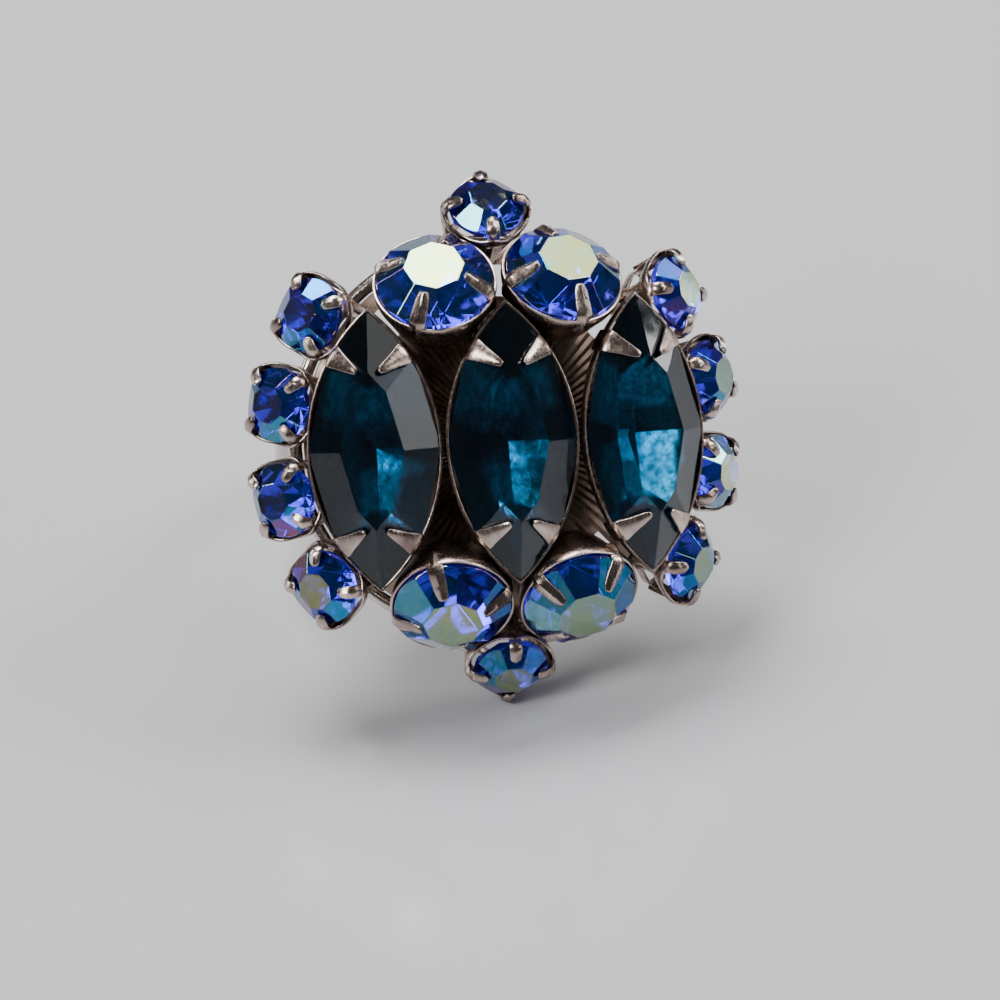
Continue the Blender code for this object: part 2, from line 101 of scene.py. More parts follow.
def read_seat(stone, setting, round_cut):
    """The frame of one stone in millimetres, and its sizes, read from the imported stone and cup.

    A round stone is turned so that one of its facets faces a claw of its cup.
    """
    bm = merged_copy(stone)
    table = max(bm.faces, key=lambda face: face.calc_area())
    facing = table.normal.copy()
    middle = table.calc_center_median_weighted()
    reach = max(flat_part(vert.co - middle, facing).length for vert in bm.verts)
    heights = [(vert.co - middle).dot(facing) for vert in bm.verts]
    rim = [(vert.co - middle).dot(facing) for vert in bm.verts
           if flat_part(vert.co - middle, facing).length > RIM_SHARE * reach]
    girdle = (max(rim) + min(rim)) / 2
    if round_cut:
        cup = merged_copy(setting)
        tip = max(cup.verts, key=lambda vert: (vert.co - middle).dot(facing)).co
        claw = flat_part(tip - middle, facing).normalized()
        middles = [(edge.verts[0].co + edge.verts[1].co) / 2 for edge in table.edges]
        sides = [flat_part(point - middle, facing) for point in middles]
        across = max(sides, key=lambda side: side.normalized().dot(claw)).normalized()
        half_width = reach
        cup.free()
    else:
        far = max(bm.verts, key=lambda vert: flat_part(vert.co - middle, facing).length).co
        along = flat_part(far - middle, facing).normalized()
        across = along.cross(facing)
        half_width = max(abs((vert.co - middle).dot(across)) for vert in bm.verts)
    along = facing.cross(across)
    rotation = Matrix((across, along, facing)).transposed().to_4x4()
    seat = {
        "place": Matrix.Translation((middle + facing * girdle) / MM) @ rotation,
        "half_length": reach / MM,
        "half_width": half_width / MM,
        "crown": -girdle / MM,
        "pavilion": (girdle - min(heights)) / MM,
        "table": [rotation.inverted() @ ((vert.co - middle) / MM) for vert in table.verts],
    }
    bm.free()
    return seat


# %% Read the seventeen seats
SIDES = ("left", "middle", "right")
LARGE = ("upper_left", "upper_right", "lower_left", "lower_right")
SMALL = ("top", "bottom") + tuple(f"{side}_{row}" for side in ("left", "right") for row in range(1, 5))
navette_seats = {n: read_seat("navette_stone_" + n, "navette_setting_" + n, False) for n in SIDES}
large_seats = {n: read_seat("large_stone_" + n, "large_setting_" + n, True) for n in LARGE}
small_seats = {n: read_seat("small_stone_" + n, "small_setting_" + n, True) for n in SMALL}
for title, seats in (("boat-shaped", navette_seats), ("large", large_seats), ("small", small_seats)):
    one = next(iter(seats.values()))
    width, length = round(2 * one["half_width"], 2), round(2 * one["half_length"], 2)
    print(title, len(seats), "stones,", width, "x", length, "mm")


# %% [markdown]
# ## Colours and nodes
#
# A paint chip is read in sRGB, but the renderer adds light in linear numbers.  One
# function turns a hex colour into those.  A second one adds a node, sets it and links
# it, so that each finish below reads as a list of its layers.

# %% Colour and node helpers
def colour(hex_code):
    """An sRGB hex colour as linear red, green, blue and alpha."""
    channels = [int(hex_code[at:at + 2], 16) / 255 for at in (0, 2, 4)]
    linear = [c / 12.92 if c <= 0.04045 else ((c + 0.055) / 1.055) ** 2.4 for c in channels]
    return (*linear, 1.0)


def add_node(material, kind, settings=None, **inputs):
    """Add one node; an input is a value, or an output socket to link."""
    tree = material.node_tree
    node = tree.nodes.new(kind)
    for key, value in (settings or {}).items():
        setattr(node, key, value)
    for key, value in inputs.items():
        socket = node.inputs[int(key[1:])] if key[1:].isdigit() else node.inputs[key.replace("_", " ")]
        if isinstance(value, bpy.types.NodeSocket):
            tree.links.new(value, socket)
        else:
            socket.default_value = value
    return node


def new_material(name):
    """A material with its Principled shader, ready for layers."""
    material = bpy.data.materials.new(name)
    material.use_nodes = True
    return material, material.node_tree.nodes["Principled BSDF"]


def ramp(material, factor, stops):
    """A colour ramp from (position, colour) stops."""
    node = add_node(material, "ShaderNodeValToRGB", None, i0=factor)
    elements = node.color_ramp.elements
    while len(elements) < len(stops):
        elements.new(0.5)
    for element, (position, shade) in zip(elements, stops):
        element.position = position
        element.color = shade
    return node.outputs["Color"]


# %% [markdown]
# ## The metal
#
# The ring is stamped and soldered from brass, then plated to a silver tone.  The plating
# is pink-grey, brighter and duller in random patches, and every recess gets a brown-black
# painted shade.  The recesses are found with the Ambient Occlusion node, which tells how
# closed in a point is within a millimetre, and a noise spreads the painted shade in
# patches and dulls the gloss under it.  Fine scratches, drawn a little coarser than real
# ones so that they show, break up the gloss.  The settings get more painted shade than the band.

# %% Plated metal
RECESS_REACH = 0.0011
SCRATCH_SPACING = 0.00016
PATCH_SIZE = 0.0022
SCRATCH_DEPTH = 0.00004
SCRATCH_STRETCH = 0.18
WHITE = (1.0, 1.0, 1.0, 1.0)
BLACK = (0.0, 0.0, 0.0, 1.0)


def per_metre(size):
    """The scale that gives a noise pattern of a real size in metres."""
    return 1.0 / size


def plated_metal(name, shades, roughness, shade_spread):
    """Plated metal from three hex shades: bright, dull, and the brown-black painted shade in its recesses."""
    bright, dull, shade_tone = [colour(shade) for shade in shades]
    material, shader = new_material(name)
    place = add_node(material, "ShaderNodeTexCoord").outputs["Object"]
    patches = add_node(material, "ShaderNodeTexNoise", None, Vector=place, Scale=per_metre(PATCH_SIZE),
                     Detail=4.0, Roughness=0.6).outputs["Fac"]
    base = ramp(material, patches, ((0.35, bright), (0.68, dull)))
    # Painted shade: the Ambient Occlusion node finds the recesses, and the patch noise, weighted by the last
    # argument, spreads the shade beyond them.
    closed = add_node(material, "ShaderNodeAmbientOcclusion", {"samples": 8}, Distance=RECESS_REACH)
    openness = add_node(material, "ShaderNodeMath", {"operation": "MULTIPLY_ADD"}, i0=patches, i1=-shade_spread,
                    i2=closed.outputs["AO"]).outputs["Value"]
    film = ramp(material, openness, ((0.05, WHITE), (0.46, BLACK)))
    # The third shade is painted shade: it is mixed over the metal's colour in the recesses, and the same mask
    # dulls the gloss.
    blend = add_node(material, "ShaderNodeMix", {"data_type": "RGBA"}, i0=film, i6=base, i7=shade_tone)
    stretched = add_node(material, "ShaderNodeMapping", None, Vector=place, Rotation=(0.5, 0.2, 0.0),
                         Scale=(1.0, 1.0, SCRATCH_STRETCH)).outputs["Vector"]
    scratch = add_node(material, "ShaderNodeTexNoise", None, Vector=stretched,
                       Scale=per_metre(SCRATCH_SPACING), Detail=3.0, Roughness=0.7).outputs["Fac"]
    gloss = add_node(material, "ShaderNodeMapRange", None, Value=scratch, i1=0.3, i2=0.7,
                     i3=roughness - 0.07, i4=roughness + 0.09).outputs["Result"]
    dulled = add_node(material, "ShaderNodeMath", {"operation": "MULTIPLY_ADD"}, i0=film, i1=0.25, i2=gloss)
    bump = add_node(material, "ShaderNodeBump", None, Strength=0.25, Distance=SCRATCH_DEPTH, Height=scratch)
    tree = material.node_tree
    tree.links.new(blend.outputs["Result"], shader.inputs["Base Color"])
    tree.links.new(dulled.outputs["Value"], shader.inputs["Roughness"])
    tree.links.new(bump.outputs["Normal"], shader.inputs["Normal"])
    shader.inputs["Metallic"].default_value = 1.0
    return material


# The third shade of each metal is the brown-black painted shade in its recesses, and the last number spreads
# it in patches.
setting_metal = plated_metal("plated setting metal", ("CBB9AF", "84706A", "20110A"), 0.23, 0.4)
band_metal = plated_metal("plated band metal", ("D9D2CC", "B9AEA6", "3A2418"), 0.2, 0.15)
print("metals:", setting_metal.name, "and", band_metal.name)


# %% [markdown]
# ## The glass
#
# The round stones are sapphire-blue lead glass.  Their backs are foiled: a mirror of
# silver under lacquer throws the light back out through the crown.  Their crowns carry
# a vapour-deposited film about a third of a light wave thick, and that film gives the
# aurora colours: yellow-green on the flat table, cyan, blue and violet on the slopes,
# where the vapour fell at an angle and left a thinner layer.  The renderer computes this
# colour from the film's thickness, which each facet carries as an attribute.
#
# The blue lets a little red through as well, as cobalt glass does, and that turns it
# towards violet.
#
# The boat-shaped stones are dark teal glass with no film.  Their crowns are dull with
# age, so they glint less than clean glass would, and their foil has gone patchy.

# %% Coated glass, plain glass and foil
GLASS_IOR = 1.55
FILM_IOR = 2.3
TABLE_FILM = 188.0
FILM_CLOUDS = 7.0
FILM_ATTRIBUTE = "film_nm"
SMEAR_SIZE = 0.0012
FOIL_GRAIN = 0.0005
CLEAN_GLINT = 0.5
DULL_GLINT = 0.1


def glass(name, tint, depth_mm, roughness, film, glint):
    """Glass whose tint is what is left of white light after a path of the given depth."""
    material, shader = new_material(name)
    tree = material.node_tree
    shader.inputs["Base Color"].default_value = (1.0, 1.0, 1.0, 1.0)
    shader.inputs["Transmission Weight"].default_value = 1.0
    shader.inputs["IOR"].default_value = GLASS_IOR
    shader.inputs["Specular IOR Level"].default_value = glint
    place = add_node(material, "ShaderNodeTexCoord").outputs["Object"]
    smear = add_node(material, "ShaderNodeTexNoise", None, Vector=place, Scale=per_metre(SMEAR_SIZE),
                     Detail=5.0, Roughness=0.65).outputs["Fac"]
    rough = add_node(material, "ShaderNodeMapRange", None, Value=smear, i1=0.45, i2=0.75,
                     i3=roughness, i4=roughness + 0.06).outputs["Result"]
    tree.links.new(rough, shader.inputs["Roughness"])
    lost = [-math.log(share) / (depth_mm * MM) for share in tint]
    density = max(lost)
    absorb = add_node(material, "ShaderNodeVolumeAbsorption", None, Density=density,
                      Color=(*[1.0 - part / density for part in lost], 1.0))
    output = tree.nodes["Material Output"]
    tree.links.new(absorb.outputs["Volume"], output.inputs["Volume"])
    if film:
        thickness = add_node(material, "ShaderNodeAttribute", {"attribute_name": FILM_ATTRIBUTE})
        clouds = add_node(material, "ShaderNodeMapRange", None, Value=smear, i1=0.3, i2=0.7,
                          i3=-FILM_CLOUDS, i4=FILM_CLOUDS)
        total = add_node(material, "ShaderNodeMath", None, i0=thickness.outputs["Fac"],
                         i1=clouds.outputs["Result"])
        tree.links.new(total.outputs["Value"], shader.inputs["Thin Film Thickness"])
        shader.inputs["Thin Film IOR"].default_value = FILM_IOR
    return material


def foil(name, shade, roughness, decay):
    """Mirror backing seen through the stone; decay is how much of its shine is lost in patches."""
    material, shader = new_material(name)
    place = add_node(material, "ShaderNodeTexCoord").outputs["Object"]
    grain = add_node(material, "ShaderNodeTexNoise", None, Vector=place, Scale=per_metre(FOIL_GRAIN),
                     Detail=5.0, Roughness=0.7).outputs["Fac"]
    rough = add_node(material, "ShaderNodeMapRange", None, Value=grain, i1=0.3, i2=0.75,
                     i3=roughness, i4=roughness + 0.15).outputs["Result"]
    spoilt = tuple((1.0 - decay) * part for part in shade[:3]) + (1.0,)
    tone = ramp(material, grain, ((0.4, shade), (0.6, spoilt)))
    material.node_tree.links.new(tone, shader.inputs["Base Color"])
    material.node_tree.links.new(rough, shader.inputs["Roughness"])
    shader.inputs["Metallic"].default_value = 1.0
    return material


SAPPHIRE_TINT = (0.1, 0.065, 0.98)
TEAL_TINT = (0.005, 0.16, 0.31)
large_glass = glass("coated sapphire glass, large", SAPPHIRE_TINT, 7.0, 0.015, True, CLEAN_GLINT)
small_glass = glass("coated sapphire glass, small", SAPPHIRE_TINT, 4.5, 0.015, True, CLEAN_GLINT)
teal_glass = glass("dark teal glass", TEAL_TINT, 7.0, 0.02, False, DULL_GLINT)
stone_foil = foil("silvered backing", colour("E6E8EE"), 0.04, 0.2)
teal_foil = foil("dulled backing", colour("C4CACE"), 0.13, 0.55)


# %% [markdown]
# ## Cutting stones
#
# A stone is cut as a lapidary cuts it: a blank is ground flat again and again, one
# facet at a time.  The bisect operator is the grinding wheel, and the hole that it
# leaves is filled as the new facet.  Last, the facet edges get a hair-thin bevel,
# which catches the light as worn glass edges do.

# %% Grinding helpers
def ease(bm, geom, offset, segments, affect="EDGES"):
    """Round over edges or corners."""
    bmesh.ops.bevel(bm, geom=geom, offset=offset, offset_type="OFFSET", segments=segments, profile=0.5,
                    affect=affect, material=-1, clamp_overlap=affect == "EDGES")


GIRDLE = 0.2
MAIN_FACETS = 8
EDGE_WEAR = 0.025
FACET_ANGLE = math.radians(9.0)
POLISH_ANGLE = math.radians(0.3)
FILM_SPREAD = 0.2
TABLE_SPREAD = 0.03


def grind(bm, azimuth, near, near_height, far, far_height):
    """Grind one facet, from a near reach and height out to a far reach and height."""
    outward = Vector((math.cos(azimuth), math.sin(azimuth), 0.0))
    fall = near_height - far_height
    normal = outward * abs(fall) + Vector((0.0, 0.0, math.copysign(far - near, fall)))
    everything = bm.verts[:] + bm.edges[:] + bm.faces[:]
    bmesh.ops.bisect_plane(bm, geom=everything, plane_co=outward * far + Vector((0.0, 0.0, far_height)),
                           plane_no=normal.normalized(), clear_outer=True, dist=1e-5)
    rim = [edge for edge in bm.edges if edge.is_boundary]
    if rim:
        bmesh.ops.holes_fill(bm, edges=rim, sides=0)


def polish(bm):
    """Join the flats, and soften the facet edges."""
    bmesh.ops.dissolve_limit(bm, angle_limit=POLISH_ANGLE, verts=bm.verts[:], edges=bm.edges[:])
    bmesh.ops.recalc_face_normals(bm, faces=bm.faces[:])
    keen = [edge for edge in bm.edges if edge.calc_face_angle(0.0) > FACET_ANGLE]
    ease(bm, keen, EDGE_WEAR, 2)


def film_on(bm, seed):
    """Give each facet its film thickness: full on the table, less on a slope, and never twice the same."""
    chance = random.Random(seed)
    layer = bm.faces.layers.float.new(FILM_ATTRIBUTE)
    for face in bm.faces:
        slope = max(face.normal.z, 0.05)
        spread = TABLE_SPREAD if face.normal.z > 0.99 else FILM_SPREAD
        face[layer] = TABLE_FILM * slope * (1.0 + chance.uniform(-spread, spread))


def back_faces(bm, index):
    """Give the pavilion, all that lies under the girdle, the second material."""
    for face in bm.faces:
        if face.calc_center_median().z < -GIRDLE / 2 - 0.02:
            face.material_index = index


def finish_piece(name, bm, place, materials, node, smooth=None):
    """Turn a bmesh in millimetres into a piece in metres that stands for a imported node."""
    bm.transform(Matrix.Scale(MM, 4) @ place)
    mesh = bpy.data.meshes.new(name)
    bm.to_mesh(mesh)
    bm.free()
    for material in materials:
        mesh.materials.append(material)
    if smooth is not None:
        mesh.shade_smooth()
        mesh.set_sharp_from_angle(angle=math.radians(smooth))
    piece = bpy.data.objects.new(name, mesh)
    bpy.context.scene.collection.objects.link(piece)
    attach(piece, "root")
    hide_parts(node)
    return piece


# %% [markdown]
# ## The round stones
#
# A machine-cut round stone has a flat eight-sided table, eight crown facets down to the
# girdle, and eight pavilion facets that meet in a point.  The blank is a cylinder.

# %% Cut the round stones
GIRDLE_STEPS = 64


def round_stone(seat, seed):
    radius = seat["half_width"]
    table_reach = max(corner.xy.length for corner in seat["table"]) * math.cos(math.pi / MAIN_FACETS)
    bm = bmesh.new()
    bmesh.ops.create_cone(bm, cap_ends=True, segments=GIRDLE_STEPS, radius1=radius, radius2=radius,
                          depth=seat["crown"] + seat["pavilion"],
                          matrix=Matrix.Translation((0.0, 0.0, (seat["crown"] - seat["pavilion"]) / 2)))
    for facet in range(MAIN_FACETS):
        azimuth = math.tau * facet / MAIN_FACETS
        grind(bm, azimuth, table_reach, seat["crown"], radius, GIRDLE / 2)
        grind(bm, azimuth, 0.0, -seat["pavilion"], radius, -GIRDLE / 2)
    polish(bm)
    film_on(bm, seed)
    back_faces(bm, 1)
    return bm


for seed, name in enumerate(LARGE):
    bm = round_stone(large_seats[name], seed)
    finish_piece("sapphire_" + name, bm, large_seats[name]["place"], (large_glass, stone_foil),
                 "large_stone_" + name)
for seed, name in enumerate(SMALL):
    bm = round_stone(small_seats[name], 10 + seed)
    finish_piece("sapphire_" + name, bm, small_seats[name]["place"], (small_glass, stone_foil),
                 "small_stone_" + name)
print("round stones cut:", len(LARGE) + len(SMALL))


# %% [markdown]
# ## The boat-shaped stones
#
# A navette's outline is two arcs that meet in points.  One vertex spun about the first
# arc's centre, then about the second's, draws it.  The crown has a long table with a
# pointed end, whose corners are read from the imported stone, and two facets in each
# quarter: one towards the tip and one along the side.

# %% Cut the navettes
BOAT_STEPS = 24
KEEL_BREAK = 3.0


def boat_loop(bm, half_length, half_width, steps, height=0.0):
    """A closed loop of two arcs with points at +Y and -Y."""
    radius = (half_length ** 2 + half_width ** 2) / (2 * half_width)
    sweep = 2 * math.asin(half_length / radius)
    last = bm.verts.new((0.0, -half_length, height))
    loop = [last]
    for side in (-1, 1):
        centre = Vector((side * (radius - half_width), 0.0, height))
        spun = bmesh.ops.spin(bm, geom=[last], cent=centre, axis=(0.0, 0.0, 1.0), angle=sweep, steps=steps)
        last = spun["geom_last"][0]
    bmesh.ops.remove_doubles(bm, verts=bm.verts[:], dist=1e-4)
    return loop


def quarters(azimuth):
    return (azimuth, math.pi - azimuth, math.pi + azimuth, -azimuth)


def facet_line(start, end):
    """The azimuth at right angles to a line in the girdle's plane, and how far out the line is."""
    run = end - start
    outward = Vector((run.y, -run.x)).normalized()
    return math.atan2(outward.y, outward.x), start.dot(outward)


def navette_stone(seat):
    half_length = seat["half_length"]
    half_width = seat["half_width"]
    corners = sorted((corner.xy for corner in seat["table"] if corner.x > -0.01 and corner.y > -0.01),
                     key=lambda corner: corner.y)
    side_corner, shoulder, tip_corner = corners[0], corners[-2], corners[-1]
    side_azimuth, side_table = facet_line(side_corner, shoulder)
    tip_azimuth, tip_table = facet_line(shoulder, tip_corner)
    side_reach = half_width * math.cos(side_azimuth)
    tip_reach = half_length * math.sin(tip_azimuth)
    keel_share = 1 - KEEL_BREAK * math.sin(side_azimuth) / side_reach
    keel_height = -GIRDLE / 2 - (seat["pavilion"] - GIRDLE / 2) * keel_share
    bm = bmesh.new()
    boat_loop(bm, half_length, half_width, BOAT_STEPS, -seat["pavilion"])
    blank = bmesh.ops.contextual_create(bm, geom=bm.edges[:])["faces"]
    risen = bmesh.ops.extrude_face_region(bm, geom=blank)["geom"]
    top = [item for item in risen if isinstance(item, bmesh.types.BMVert)]
    bmesh.ops.translate(bm, verts=top, vec=(0.0, 0.0, seat["crown"] + seat["pavilion"]))
    bmesh.ops.recalc_face_normals(bm, faces=bm.faces[:])
    for azimuth in quarters(side_azimuth):
        grind(bm, azimuth, side_table, seat["crown"], side_reach, GIRDLE / 2)
        grind(bm, azimuth, 0.0, -seat["pavilion"], side_reach, -GIRDLE / 2)
    for azimuth in quarters(tip_azimuth):
        grind(bm, azimuth, tip_table, seat["crown"], tip_reach, GIRDLE / 2)
        grind(bm, azimuth, KEEL_BREAK * math.sin(tip_azimuth), keel_height, tip_reach, -GIRDLE / 2)
    polish(bm)
    back_faces(bm, 1)
    return bm


for name in SIDES:
    bm = navette_stone(navette_seats[name])
    print("navette", name, "has", len(bm.faces), "faces")
    finish_piece("navette_" + name, bm, navette_seats[name]["place"], (teal_glass, teal_foil),
                 "navette_stone_" + name)


# %% [markdown]
# ## Claw cups
#
# Each stone sits in a cup pressed from sheet 0.15 mm thick.  The wall is one closed
# outline, extruded up from level to level while it widens, so that it hugs the stone.
# Then the sheet gets its thickness and its raw rims are eased.  The small cups are
# square and pierced between their corner posts.
#
# The claws are strips of the same sheet, a little thicker where they were folded for
# strength.  A strip starts as two short edges side by side and is extruded along the
# way the real claw was bent: up the outside of the wall, over the girdle, and down
# onto the crown.

# %% Cup walls
SHEET = 0.15
STONE_GAP = 0.04
RIM_EASE = 0.045
RIM_HEIGHT = 0.02
RIM_ANGLE = math.radians(50.0)


def extrude_rim(bm, edges):
    """Extrude a line of edges in place, and give back its new vertices and edges."""
    made = bmesh.ops.extrude_edge_only(bm, edges=edges)["geom"]
    verts = [item for item in made if isinstance(item, bmesh.types.BMVert)]
    fresh = set(verts)
    return verts, [item for item in made if isinstance(item, bmesh.types.BMEdge) and set(item.verts) <= fresh]


def raise_wall(bm, half_width, half_length, levels):
    """Extrude the loop in a bmesh, made for the stone's own outline, through (offset, height) levels."""
    edges = bm.edges[:]
    verts = bm.verts[:]
    offset, height = levels[0]
    first = Vector(((half_width + offset) / half_width, (half_length + offset) / half_length, 1.0))
    bmesh.ops.scale(bm, vec=first, verts=verts)
    bmesh.ops.translate(bm, vec=(0.0, 0.0, height), verts=verts)
    for next_offset, next_height in levels[1:]:
        verts, edges = extrude_rim(bm, edges)
        widen = Vector(((half_width + next_offset) / (half_width + offset),
                        (half_length + next_offset) / (half_length + offset), 1.0))
        bmesh.ops.scale(bm, vec=widen, verts=verts)
        bmesh.ops.translate(bm, vec=(0.0, 0.0, next_height - height), verts=verts)
        offset, height = next_offset, next_height


def thicken(bm, faces, thickness):
    """Give a sheet its thickness on the outer side, and ease the rims."""
    bmesh.ops.recalc_face_normals(bm, faces=faces)
    outward = sum(face.normal.dot(face.calc_center_median().xy.to_3d()) for face in faces)
    if outward < 0:
        bmesh.ops.reverse_faces(bm, faces=faces)
    bmesh.ops.solidify(bm, geom=faces, thickness=-thickness)
    bmesh.ops.recalc_face_normals(bm, faces=bm.faces[:])
    raw = [edge for edge in bm.edges if edge.calc_face_angle(0.0) > RIM_ANGLE]
    ease(bm, raw, RIM_EASE, 2)


# %% Claws
CLAW_STATIONS = 14
CLAW_EASE = 0.38


def smooth_way(points, count):
    """Evenly numbered points on a smooth curve through a few chosen ones."""
    padded = [2 * points[0] - points[1], *points, 2 * points[-1] - points[-2]]
    way = []
    for index in range(count):
        reach = (len(points) - 1) * index / (count - 1)
        start = min(int(reach), len(points) - 2)
        t = reach - start
        a, b, c, d = padded[start:start + 4]
        way.append(0.5 * ((2 * b) + (c - a) * t + (2 * a - 5 * b + 4 * c - d) * t ** 2
                          + (3 * b - a - 3 * c + d) * t ** 3))
    return way


def add_claw(bm, foot, inward, stations, thickness, fold):
    """Add one claw at a foot point, bent inwards.

    A station is (inwards, height, half width).  The fold lifts the strip's middle, which
    gives the claw its ridge outside and its hollow inside.
    """
    sideways = Vector((0.0, 0.0, 1.0)).cross(inward)
    way = smooth_way([Vector(station) for station in stations], CLAW_STATIONS)
    claw = bmesh.new()
    across = claw.verts.layers.float.new("across")
    lane = [claw.verts.new(sideways * side) for side in (-1.0, 0.0, 1.0)]
    for vert, side in zip(lane, (-1.0, 0.0, 1.0)):
        vert[across] = side
    edges = [claw.edges.new((lane[0], lane[1])), claw.edges.new((lane[1], lane[2]))]
    verts = lane
    for index, station in enumerate(way):
        if index:
            verts, edges = extrude_rim(claw, edges)
        before = way[max(index - 1, 0)]
        after = way[min(index + 1, len(way) - 1)]
        run = inward * (after.x - before.x) + Vector((0.0, 0.0, after.y - before.y))
        out = run.normalized().cross(sideways)
        centre = foot + inward * station.x + Vector((0.0, 0.0, station.y))
        for vert in verts:
            side = vert[across]
            vert.co = centre + sideways * side * station.z + out * fold * (0.5 - abs(side))
    bmesh.ops.recalc_face_normals(claw, faces=claw.faces[:])
    if sum(face.normal.dot(face.calc_center_median() - foot - inward * 2.0) for face in claw.faces) < 0:
        bmesh.ops.reverse_faces(claw, faces=claw.faces[:])
    bmesh.ops.solidify(claw, geom=claw.faces[:], thickness=thickness)
    bmesh.ops.recalc_face_normals(claw, faces=claw.faces[:])
    raw = [edge for edge in claw.edges if edge.calc_face_angle(0.0) > RIM_ANGLE]
    ease(claw, raw, thickness * CLAW_EASE, 3)
    shape = bpy.data.meshes.new("claw")
    claw.to_mesh(shape)
    claw.free()
    bm.from_mesh(shape)
    bpy.data.meshes.remove(shape)


def four_claws(bm, reach, stations, thickness, fold):
    """Claws in a cross, which is how both kinds of round cup hold their stones."""
    for quarter in range(4):
        azimuth = math.tau * quarter / 4
        out = Vector((math.cos(azimuth), math.sin(azimuth), 0.0))
        add_claw(bm, out * reach, -out, stations, thickness, fold)


# %% [markdown]
# ### Large cups
#
# A round cup with four stout claws.  Its rim ends at the girdle, so that only a thin
# line of it shows round the stone, and its wall narrows to where it is soldered on.

# %% Make the large cups
LARGE_CLAW_SHEET = 0.3
LARGE_CLAW_FOLD = 0.2


def crown_slope(seat):
    """How steeply the crown of a round stone climbs from the girdle to the table."""
    table_reach = max(corner.xy.length for corner in seat["table"]) * math.cos(math.pi / MAIN_FACETS)
    return (seat["crown"] - GIRDLE / 2) / (seat["half_width"] - table_reach)


def large_cup(seat):
    radius = seat["half_width"]
    slope = crown_slope(seat)
    levels = ((-1.0, -2.8), (-0.75, -2.3), (-0.55, -1.8), (-0.1, -0.8), (0.0, -0.5),
              (STONE_GAP, -0.3), (STONE_GAP, RIM_HEIGHT))
    bm = bmesh.new()
    bmesh.ops.create_circle(bm, segments=GIRDLE_STEPS, radius=radius)
    raise_wall(bm, radius, radius, levels)
    thicken(bm, bm.faces[:], SHEET)
    stations = ((-0.14, -1.0, 0.52), (-0.16, -0.3, 0.52), (-0.14, 0.2, 0.5), (0.08, 0.52, 0.48),
                (0.55, 0.34 + 0.55 * slope, 0.46), (1.05, 0.28 + 1.05 * slope, 0.4),
                (1.38, 0.24 + 1.38 * slope, 0.28))
    four_claws(bm, radius, stations, LARGE_CLAW_SHEET, LARGE_CLAW_FOLD)
    return bm


for name in LARGE:
    finish_piece("claw_cup_" + name, large_cup(large_seats[name]), large_seats[name]["place"],
                 (setting_metal,), "large_setting_" + name, 40.0)


# %% [markdown]
# ### Small cups
#
# The small cups are square with broad round corners, and their sides are open: a base
# ring, four corner posts that run on up into the claws, and a rail under the girdle.
# Between the claws the rail dips, so that the glass shows down to its edge.

# %% Make the small cups
SQUARE_REACH = 1.19
SQUARE_CORNER = 1.35
POST_SHARE = 0.3
RAIL_DIP = 0.5
DIP_START = -0.9
WINDOW_HEIGHTS = (-1.9, -0.9)
SMALL_RIM = 0.12
SMALL_CLAW_SHEET = 0.24
SMALL_CLAW_FOLD = 0.14


def small_cup(seat):
    radius = seat["half_width"]
    corner = radius * SQUARE_REACH
    levels = ((-0.65, -2.5), (-0.6, -2.2), (-0.5, -1.9), (-0.35, -1.4), (-0.2, -0.9), (-0.05, -0.55),
              (STONE_GAP, -0.25), (STONE_GAP, SMALL_RIM))
    bm = bmesh.new()
    loop = bmesh.ops.create_circle(bm, segments=4, radius=radius * math.sqrt(2.0))["verts"]
    ease(bm, loop, SQUARE_CORNER, 6, "VERTICES")
    sides = [edge for edge in bm.edges if edge.calc_length() > 0.9]
    bmesh.ops.subdivide_edges(bm, edges=sides, cuts=5)
    raise_wall(bm, radius, radius, levels)
    for vert in bm.verts:
        mid_side = abs(math.sin(2 * math.atan2(vert.co.y, vert.co.x)))
        near_rim = max(0.0, vert.co.z - DIP_START) / (SMALL_RIM - DIP_START)
        vert.co.z -= RAIL_DIP * mid_side * near_rim
    pierced = []
    for face in bm.faces:
        middle = face.calc_center_median()
        off_corner = min(abs(middle.x), abs(middle.y)) / middle.xy.length
        if WINDOW_HEIGHTS[0] < middle.z < WINDOW_HEIGHTS[1] and off_corner > POST_SHARE:
            pierced.append(face)
    bmesh.ops.delete(bm, geom=pierced, context="FACES")
    thicken(bm, bm.faces[:], SHEET)
    stations = ((0.4, -2.35, 0.34), (0.2, -1.4, 0.34), (0.0, -0.4, 0.36), (0.0, 0.22, 0.38), (0.2, 0.6, 0.38),
                (0.55, 0.78, 0.36), (0.88, 0.86, 0.32), (1.06, 0.86, 0.22))
    four_claws(bm, corner, stations, SMALL_CLAW_SHEET, SMALL_CLAW_FOLD)
    return bm


for name in SMALL:
    finish_piece("claw_cup_" + name, small_cup(small_seats[name]), small_seats[name]["place"],
                 (setting_metal,), "small_setting_" + name, 40.0)


# %% [markdown]
# ### Boat-shaped cups
#
# The long cups follow the navettes' outline.  Their four claws are broad triangles, set
# a little way from the tips and lying almost flat on the crown.

# %% Make the boat-shaped cups
CLAW_FROM_TIP = 2.3
BOAT_CLAW_SHEET = 0.24
BOAT_CLAW_FOLD = 0.08


